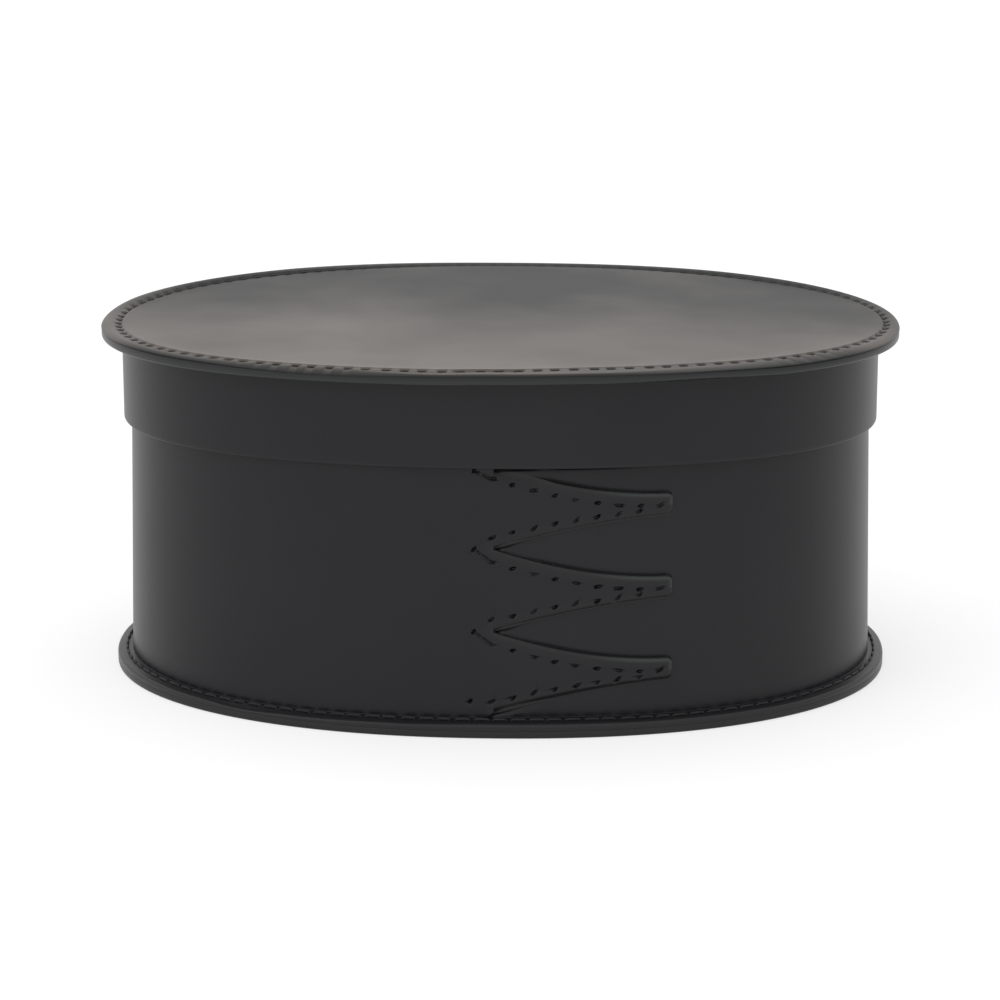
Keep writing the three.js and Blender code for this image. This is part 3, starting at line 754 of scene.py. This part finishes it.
# The lid's top is one oval of softer leather, waxed to a cloudy sheen, which its material partly paints
# as a paler tone towards the front, a painted sheen. It is a little dished, its stitches are drawn down
# into a channel, and outside them it rolls down to its rim.
lid_height = 96.4
lid_thick = 1.5
rim_reach_out = 8.14
lid_seam = 3.15  # reach of the seam, but for its wander
dish = 0.6  # how deep the middle lies below the seam
lip = 0.08  # how low the panel lies by the seam, but for a ridge along it
front_channel = 0.15  # depth of the channel at the front
back_channel = 0.85  # how much deeper it is at the back
dent_depth = 0.45
stitch_low = 0.56  # how far the stitches lie below the lid's height
roll_power = 1.5  # at the front: 2 rolls the margin over as an ellipse, less as a bevel
dash_half = 0.75  # half the length of the dent that a stitch makes
stitch_half = 0.27  # half the length of a stitch, as a share of the pitch
stitch_jitter = 0.07  # of the pitch
knot_x = 3.0  # where the thread starts and ends

# The rim: at some turns round the oval, the reach of the seam, how far the margin outside it has come
# down, the heights of the joint between top and band and of the band's lower corner, and the reach at
# which the margin starts to roll over.
rim_by_hand = np.array([
    (0.0, 3.4, 0.2, 95.5, 93.3, 7.4),
    (0.036, 1.8, 0.05, 95.65, 93.5, 7.4),
    (0.08, 1.4, 0.1, 95.7, 93.9, 4.8),
    (0.127, 2.2, 0.15, 95.3, 93.3, 3.3),
    (0.25, 4.4, 0.1, 95.3, 93.07, 6.8),
    (0.4, 1.4, -0.45, 95.3, 93.07, 5.4),
    (0.5, 1.3, 0.0, 95.4, 93.07, 5.4),
    (0.6, 1.3, -0.6, 95.4, 93.07, 5.4),
    (0.7, 1.8, -0.5, 95.3, 93.07, 5.6),
    (0.75, 3.05, 0.0, 95.3, 93.07, 5.8),
    (0.869, 4.6, 0.25, 95.4, 93.0, 6.3),
    (0.938, 4.2, 0.25, 94.9, 93.1, 4.9),
    (0.982, 4.3, 0.4, 95.3, 93.1, 7.6),
])

# The lid's pale warm tone and its lean to the front half paint its sheen, a painted sheen over the
# random clouds. Its rubbed tone is dark and paints shade on the margin.
lid_leather = leather(
    "lid_waxed_leather",
    deep_tone=(0.012, 0.0118, 0.0118, 1),
    pale_tone=(0.094, 0.078, 0.066, 1),
    rubbed_painted_light_tone=(0.016, 0.017, 0.0168, 1),
    gloss=0.2,
    roughness=0.4,
    cloud_size=0.06,
    grain=0.08,
    cloud_polish=0.05,
    painted_front_sheen=0.42,
    dulled=0.14,
)


def along_rim(turn, column):
    """A value of the rim's table at a turn. After a whole turn the table starts again."""
    return by_hand(turn % 1, np.vstack([rim_by_hand, (1, *rim_by_hand[0, 1:])]), column)


def joint_opening(x):
    """How far the edges of top and band stand open: 0.02, and 0.26 more towards the ends of the lid."""
    return 0.02 + 0.26 * ease(np.abs(x), 30, 85)


# Columns crowd at the two ends of each stitch. The stitches over the middle of the front are doubled
# where the thread starts and ends, so their dents run together.
dash_columns = np.array([
    -0.36, -0.31, -0.265, -0.22, -0.15, -0.05, 0.05, 0.15, 0.22, 0.265, 0.31, 0.36,
])
seam_length = turn_at(lid_seam, np.zeros(1))[1]
dash_count = round(seam_length / rim_stitch)
dash_shift = np.random.default_rng(11).uniform(-stitch_jitter, stitch_jitter, dash_count)
dash_middle = np.arange(dash_count)[:, None] + 0.5
lid_columns = np.concatenate([dash_middle - 0.5, dash_middle + dash_shift[:, None] + dash_columns], 1)
lid_turn = turn_at(lid_seam, lid_columns.ravel() / dash_count)[0]
dash_along = np.concatenate([dash_middle * 0 - 0.5, dash_middle * 0 + dash_columns], 1)
dash_along = dash_along.ravel() * seam_length / dash_count
lid_x = oval(lid_turn)[0][:, 0]
doubled = ease(-np.abs(lid_x + 0.4), -9.5, -8) * (np.abs(lid_turn - 0.5) > 0.25)

lid_size = np.linalg.norm(oval(lid_turn)[0], axis=-1)
seam_at, down, joint, crest = (along_rim(lid_turn, column) for column in (1, 2, 3, 5))
behind_share = (1 - np.cos(2 * np.pi * lid_turn)) / 2
pull = crest - seam_at
joint_open = joint_opening(lid_x)

inner_share = np.array([0, 0.2, 0.4, 0.6, 0.75, 0.87, 0.95, 1])[:, None]
inner_offset = np.array([-1.6, -1.35, -1.1, -0.95, -0.8, -0.65, -0.5, -0.35, -0.2, -0.05])[:, None]
outer_share = np.array([0.05, 0.18, 0.3, 0.42, 0.54, 0.66, 0.78, 0.9, 1])[:, None]
face_reach = np.concatenate([
    inner_share * 0 + 0 * seam_at,
    seam_at + inner_offset * np.minimum(1, (seam_at - 0.15) / 1.6),
    seam_at + pull * outer_share,
])
lid_share = np.concatenate([inner_share, np.ones((len(face_reach) - len(inner_share), 1))])

from_seam = face_reach - seam_at
across_lid = (lid_share * lid_size + face_reach) / (lid_size + seam_at)
by_seam = lid_share == 1
ridge = by_seam * lip * np.exp(-(((from_seam + 1.3) / 0.45) ** 2))
sunk = lip + dish * np.clip(1 - across_lid**2, 0, 1) - ridge
bridge = ease(np.abs(dash_along), dash_half, dash_half + 0.9) * (1 - doubled)
inner_side = by_seam * ease(from_seam, -0.9, -0.2)
outer_side = (1 - np.clip((from_seam - 0.2) / (pull - 0.2), 0, 1)) ** 2
trough = (front_channel + back_channel * behind_share) * (1 - 0.4 * bridge) * inner_side * outer_side
past = np.maximum(np.abs(dash_along) - dash_half - 1.5 * doubled, 0)
aside = (from_seam - 0.25 + 0.06 * dash_along) / 1.3
dent = by_seam * dent_depth * (1 - 0.4 * behind_share)
dent = dent * (1 - ease(np.hypot(past / 0.7, aside), 0.3, 1.0))
face_z = lid_height - np.where(from_seam < 0, sunk, 0.6 * lip) - down * ease(from_seam, -0.6, 2.6)
face_z = face_z - trough - dent

# From the crest of the margin the leather rolls over in a quarter of an oval. The lower corner of
# its edge is rubbed open towards the ends of the lid.
over = np.linspace(0, math.pi / 2, 12)[1:, None]
rolled = 2 / (roll_power + 0.5 * behind_share)
over_reach = crest + (rim_reach_out - crest) * np.sin(over) ** rolled
over_z = joint + joint_open + (face_z[-1] - joint - joint_open) * np.cos(over).clip(0) ** rolled
under = np.array([(0, 0.4), (-0.3, 0.12), (-1, 0)])[:, :, None]  # shares of the opening
corner_reach = rim_reach_out + under[:, 0] * joint_open
corner_z = joint + 0.02 + under[:, 1] * joint_open
flat_reach = np.array([7.4, 6.2, 5.2, lid_seam, 0])[:, None] + 0 * lid_turn
flat_z = np.concatenate([[joint - 0.03], np.array([95.0, 94.9, 94.9, 94.9])[:, None] + 0 * lid_turn])
middle_share = np.array([0.8, 0.4, 0])[:, None] + 0 * lid_turn
lid_reach = np.concatenate([face_reach, over_reach, corner_reach, flat_reach, 0 * middle_share])[::-1]
middle_z = lid_height - lid_thick + 0 * middle_share
lid_z = np.concatenate([face_z, over_z, corner_z, flat_z, middle_z])[::-1]
whole = np.ones((len(over_reach) + len(corner_reach) + len(flat_reach), len(lid_turn)))
lid_share = np.concatenate([lid_share + 0 * lid_turn, whole, middle_share])[::-1]

lid_points = stand(lid_turn, lid_reach, lid_z, lid_share)
lid_points[..., 2] = np.minimum(lid_points[..., 2] - sink(lid_points[..., 0]), lid_height)

# Outside the seam the leather is painted a darker tone and made rougher: a painted shade, most of all
# on the roll at the front and on the margin at the back. At the two ends of the lid this fades out.
on_roll = np.clip((lid_reach - crest) / (rim_reach_out - crest), 0, 1)
back_roll = ease(lid_reach - crest, -0.5, 0.8) * ease(behind_share, 0.4, 0.6)
lid_shade_and_dulling = 0.35 + 0.65 * np.maximum(ease(behind_share, 0.55, 0.8), on_roll)
lid_shade_and_dulling = lid_shade_and_dulling * ease(lid_reach - seam_at, -0.5, 0.6)
lid_shade_and_dulling = lid_shade_and_dulling * (1 - ease(np.abs(lid_x), 84, 98))
lid_shade_and_dulling = lid_shade_and_dulling * (1 - back_roll)
lid_faces = grid_faces(*lid_z.shape, False, True)
lid_top = make_piece("lid_oval", lid_points, lid_faces, lid_leather, lid_shade_and_dulling)
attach(lid_top, "lid")
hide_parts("lid_top")

# The band of the lid is a strip that slides over the wall. Its top edge is turned outward
# under the lid's top, its mouth is rubbed round, and its ends are pared thin and lapped at the back.
band_mouth = 70.5
band_inner = 1.14
band_thick = 1.5
band_top = 94.62
band_bend = 1.0
band_rim = 8.08
mouth_round = 0.4
band_lap = 6.0  # half the length of the lap
band_hole_rows = 3.0  # x of the two rows of holes, either side of the middle of the back
band_holes = [
    (side, height, 1.05, 1.0, 1.0)
    for side in (-band_hole_rows, band_hole_rows)
    for height in np.linspace(88.9, 73.9, 4)
]

back_x = np.unique(np.concatenate([
    np.linspace(-10, 10, 17),
    -band_hole_rows + near_hole[2:-3],
    band_hole_rows + near_hole[2:-3],
    band_lap + np.array([-0.3, -0.1, -hair, hair, 0.1, 0.3]),
]))
back_turn = 0.5 - front_turn(back_x)
side_turn = np.linspace(back_turn.max(), 1 + back_turn.min(), 242)[1:-1]
band_turn = np.concatenate([back_turn[::-1], side_turn])
band_x = np.concatenate([back_x[::-1], np.full(len(side_turn), elsewhere)])

# The section of the band, each row (reach, height, what the height is measured from): 0 is the
# ground, 1 the lower corner of the edge as listed for the rim, 2 the joint as listed for the rim.
band_outer = band_inner + band_thick
band_under = band_top - band_thick
band_corner = band_outer + band_bend
turned = band_under - band_bend
outer_bend = band_bend + band_thick
up_rows = [(band_outer, z, 0) for z in np.arange(band_mouth + 1.2, turned - 0.2, 0.45)]
section = np.array(
    [(band_inner, turned, 0), (band_inner, 80.0, 0), (band_inner, band_mouth + mouth_round, 0)]
    + [
        (band_inner + mouth_round * (1 - math.cos(a)), band_mouth + mouth_round * (1 - math.sin(a)), 0)
        for a in np.linspace(0, math.pi / 2, 6)[1:]
    ]
    + [
        (band_outer - mouth_round * (1 - math.sin(a)), band_mouth + mouth_round * (1 - math.cos(a)), 0)
        for a in np.linspace(0, math.pi / 2, 6)
    ]
    + up_rows
    + [
        (band_corner + band_bend * math.cos(a), turned + band_bend * math.sin(a), 0)
        for a in np.linspace(math.pi, math.pi / 2, 7)
    ]
    + [(5.2, band_under, 0), (band_rim - 0.8, 0, 1)]
    + [
        (band_rim - 0.6 * (1 - math.sin(a)), 0.6 * (1 - math.cos(a)), 1)
        for a in np.linspace(0, math.pi / 2, 5)
    ]
    + [(band_rim, 0, 2)] * 3
    + [(7.3, -0.13, 2), (6.2, band_top + 0.22, 0), (5.2, band_top + 0.1, 0)]
    + [
        (band_corner + outer_bend * math.cos(a), turned + outer_bend * math.sin(a), 0)
        for a in np.linspace(math.pi / 2, math.pi, 7)
    ][:-1]
)
band_reach, band_height, measured_from = (v + 0 * band_turn for v in section.T[:, :, None])
low_corner = along_rim(band_turn, 4)
from_heights = [0 * band_turn, low_corner, along_rim(band_turn, 3)]
band_height = band_height + np.choose(measured_from.astype(int), from_heights)

# The upper corner of its edge is rubbed open as the lid's is.
corner_rows = np.flatnonzero((section == (band_rim, 0, 2)).all(axis=1))
band_open = joint_opening(oval(band_turn)[0][:, 0])
band_reach[corner_rows] += np.array([0, -0.3, -1])[:, None] * band_open
band_height[corner_rows] -= np.array([1, 0.3, 0])[:, None] * band_open

# Its outer end at the lap has a fine groove along it and is pared thin behind that. The holes of
# its seam lie either side of the middle of the lap.
is_up = (band_reach >= band_outer - 0.01) & (band_height < turned) & (band_x < elsewhere)
band_dent = is_up * np.maximum(
    hole_dents(0 * band_height + band_x, band_height, band_holes, 1.0, 0.5),
    0.35 * np.exp(-(((band_x - band_lap) / 0.14) ** 2))
    + 0.25 * (band_x > band_lap) * np.clip(1 - (band_x - band_lap) / 3.5, 0, 1),
)
band_points = stand(band_turn, band_reach - band_dent, band_height)
band_points[..., 2] -= sink(band_points[..., 0])
# The band's rim is painted lighter, most of all at its lower corner, where the lighter tone is a
# painted highlight. The mouth is a little lighter too, partly rubbing and partly a painted highlight.
rim_edge_highlight = 0.15 + 0.6 * ease(low_corner + 1.0 - band_height, 0, 0.6)
band_wear_and_highlight = 0.1 * (band_height < band_mouth + mouth_round * 1.2)
band_wear_and_highlight = band_wear_and_highlight + rim_edge_highlight * (band_reach > rim_reach_out - 1.2)
band_faces = grid_faces(*band_height.shape, True, True)
lid_band = make_piece("lid_ring", band_points, band_faces, black_leather, band_wear_and_highlight)
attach(lid_band, "lid")
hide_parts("lid_band")

# The lid's seam is waxed linen too. It is sewn through top and flange in saddle stitch, and its
# stitches are drawn into the soft leather of the top. It starts and ends beside the middle of the
# front, where one more stitch lies across the others.
stitch_turn = [
    turn_at(lid_seam, (np.arange(dash_count) + 0.5 + dash_shift + side) / dash_count)[0]
    for side in (-stitch_half, stitch_half)
]
lid_upper = [
    stand(turn, along_rim(turn, 1) + side, lid_height - stitch_low - 0.6 * along_rim(turn, 2))
    for turn, side in zip(stitch_turn, (0.1, -0.05))
]
lid_under = seam_round(lid_seam + 0.6, band_under, -1, 0.97)
knot_turn = front_turn(np.array([knot_x]))
knot = [stand(knot_turn, along_rim(knot_turn, 1) - side, lid_height - 0.55) for side in (-0.5, 1.5)]
starts = np.concatenate([lid_upper[0], lid_under[0], knot[0]])
ends = np.concatenate([lid_upper[1], lid_under[1], knot[1]])
starts[:, 2] -= sink(starts[:, 0])
ends[:, 2] -= sink(ends[:, 0])
facing = np.concatenate([np.ones(dash_count), -np.ones(len(lid_under[0])), [1.0]])
lid_thread = thread_stitches(
    "lid_seam", starts, ends, facing[:, None] * np.array([0, 0, 1.0]),
    lift=0.12, dive=0.9, radius=0.4,
)
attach(lid_thread, "lid")
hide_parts("lid_seam_thread", "lid_seam_under_thread")

# A short thread of waxed linen closes the lap of the band at the back. It is sewn through both
# ends of the strip, down one row of holes, across above the mouth and up the other row.
band_runs = np.array(
    [(band_holes[i], band_holes[i + 1]) for i in (0, 1, 2, 4, 5, 6)] + [(band_holes[3], band_holes[7])]
)[..., :2]
back_hole_turn = 0.5 - front_turn(band_runs[..., 0])
back_points = stand(back_hole_turn, band_outer + 0 * back_hole_turn, band_runs[..., 1])
back_points = 0.98 * back_points + 0.02 * back_points[:, ::-1]  # so that no two stitches touch
band_thread = thread_stitches(
    "band_lap_seam", back_points[:, 0], back_points[:, 1],
    np.broadcast_to([0.0, 1.0, 0.0], back_points[:, 0].shape),
    lift=0.1, dive=0.9, radius=0.3,
)
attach(band_thread, "lid")
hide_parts("band_lap_thread")

# The table is a wide pale sheet that runs out of the picture. To the camera it is white but for
# the box's shadow. The light is that of a white room, with a broad soft lamp overhead and one more
# at the front left.
table_half = 8.0  # metres
table_tone = 0.5
table_glow = 0.56  # what the camera sees on top of the light that falls on the table
unseen_room = 0.9  # the room's light on the box, as a share of the white that the camera sees
table_corners = table_half * np.array([(-1, -1, 0), (1, -1, 0), (1, 1, 0), (-1, 1, 0)])
floor_mesh = bpy.data.meshes.new("table")
floor_mesh.from_pydata(table_corners.tolist(), [], [(0, 1, 2, 3)])
floor = set_out("table", floor_mesh)


def seen_rays(tree):
    """1 for rays from the camera, and for rays that glossy or clear surfaces send on."""
    path = wire(tree, "LightPath", {})
    either = wire(tree, "Math", {
        0: path.outputs["Is Camera Ray"], 1: path.outputs["Is Glossy Ray"],
    }, operation="MAXIMUM")
    return wire(tree, "Math", {
        0: either, 1: path.outputs["Is Transmission Ray"],
    }, operation="MAXIMUM")


paper = bpy.data.materials.new("white_paper")
tree = blank_nodes(paper)
seen = seen_rays(tree)
sheet = wire(tree, "BsdfDiffuse", {"Color": (table_tone, table_tone, table_tone, 1)})
bright = wire(tree, "Math", {0: seen, 1: table_glow}, operation="MULTIPLY")
glow = wire(tree, "Emission", {"Color": (1, 1, 1, 1), "Strength": bright})
both = wire(tree, "AddShader", {0: sheet, 1: glow})
wire(tree, "OutputMaterial", {"Surface": both})
floor_mesh.materials.append(paper)

room = bpy.data.worlds.new("white_room")
bpy.context.scene.world = room
tree = blank_nodes(room)
strength = wire(tree, "MapRange", {"Value": seen_rays(tree), "To Min": unseen_room})
light = wire(tree, "Background", {"Color": (1, 1, 1, 1), "Strength": strength})
wire(tree, "OutputWorld", {"Surface": light})


def soft_lamp(name, wide, deep, place, turned):
    """A lamp of 4 watts that shines from a rectangle. Turned holds its Euler angles."""
    lamp = bpy.data.lights.new(name, "AREA")
    lamp.shape = "RECTANGLE"
    lamp.size, lamp.size_y, lamp.energy = wide, deep, 4
    holder = set_out(name, lamp)
    holder.location, holder.rotation_euler = place, turned


soft_lamp("overhead_lamp", 1.6, 1.2, (-0.3, -0.1, 1.6), (0, -0.18, 0))
to_box = Vector((1.3, 1.1, -0.85)).to_track_quat("-Z", "Y")
soft_lamp("window_lamp", 1.2, 1.2, (-1.3, -1.1, 0.9), to_box.to_euler())
bpy.context.scene.view_settings.view_transform = "Standard"
